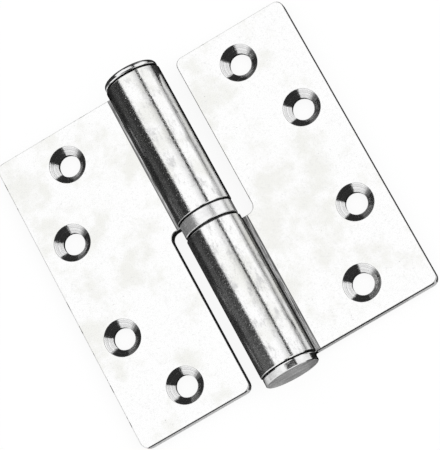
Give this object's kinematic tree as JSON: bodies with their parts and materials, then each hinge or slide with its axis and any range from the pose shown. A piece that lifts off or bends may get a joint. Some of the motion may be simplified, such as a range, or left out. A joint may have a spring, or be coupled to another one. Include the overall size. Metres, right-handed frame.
{
  "type": "ball bearing butt hinge",
  "caption": "Lift-off ball bearing butt hinge in bright stainless steel: countersunk leaves swing on a pin with a thrust bearing between the knuckles.",
  "frame": {"origin": "under the middle of the hinge axis, level with the knuckles' lowest line, 1.35 mm under the leaves' backs", "axes": "+Y along the hinge axis towards the knuckle that lifts off, +Z out of the countersunk faces, +X towards the leaf that holds the pin"},
  "size_m": [0.1016, 0.1057, 0.018],
  "materials": {
    "leaf_steel": "bright polished stainless steel with faint mottling",
    "cap_steel": "turned and polished stainless steel",
    "ring_steel": "fine turned stainless steel",
    "pin_steel": "ground steel",
    "race_steel": "hardened and ground steel",
    "ball_steel": "polished bearing steel",
    "cage_brass": "pressed brass"
  },
  "bodies": {
    "lower_half": {"right_leaf": "leaf_steel", "hinge_pin": "pin_steel", "lower_race": "race_steel", "bottom_cap": "cap_steel"},
    "bearing_top": {"upper_race": "race_steel", "bearing_shell": "ring_steel"},
    "ball_set": {"ball_cage": "cage_brass", "ball_01": "ball_steel", "ball_02": "ball_steel", "ball_03": "ball_steel", "ball_04": "ball_steel", "ball_05": "ball_steel", "ball_06": "ball_steel", "ball_07": "ball_steel", "ball_08": "ball_steel", "ball_09": "ball_steel", "ball_10": "ball_steel", "ball_11": "ball_steel", "ball_12": "ball_steel", "ball_13": "ball_steel", "ball_14": "ball_steel"},
    "upper_half": {"left_leaf": "leaf_steel", "top_cap": "cap_steel"}
  },
  "joints": [
    {"name": "swing", "type": "hinge", "parent": "lower_half", "child": "bearing_top", "pos_m": [0, 0, 0.009], "axis": [0, 1, 0], "range_deg": [0, 180]},
    {"name": "ball_roll", "type": "hinge", "parent": "lower_half", "child": "ball_set", "pos_m": [0, 0, 0.009], "axis": [0, 1, 0], "range_deg": [0, 90]},
    {"name": "lift_off", "type": "slide", "parent": "bearing_top", "child": "upper_half", "axis": [0, 1, 0], "range_m": [0, 0.04]}
  ],
  "couplings": [
    {"joint": "ball_roll", "follows": "swing", "ratio": 0.5}
  ]
}
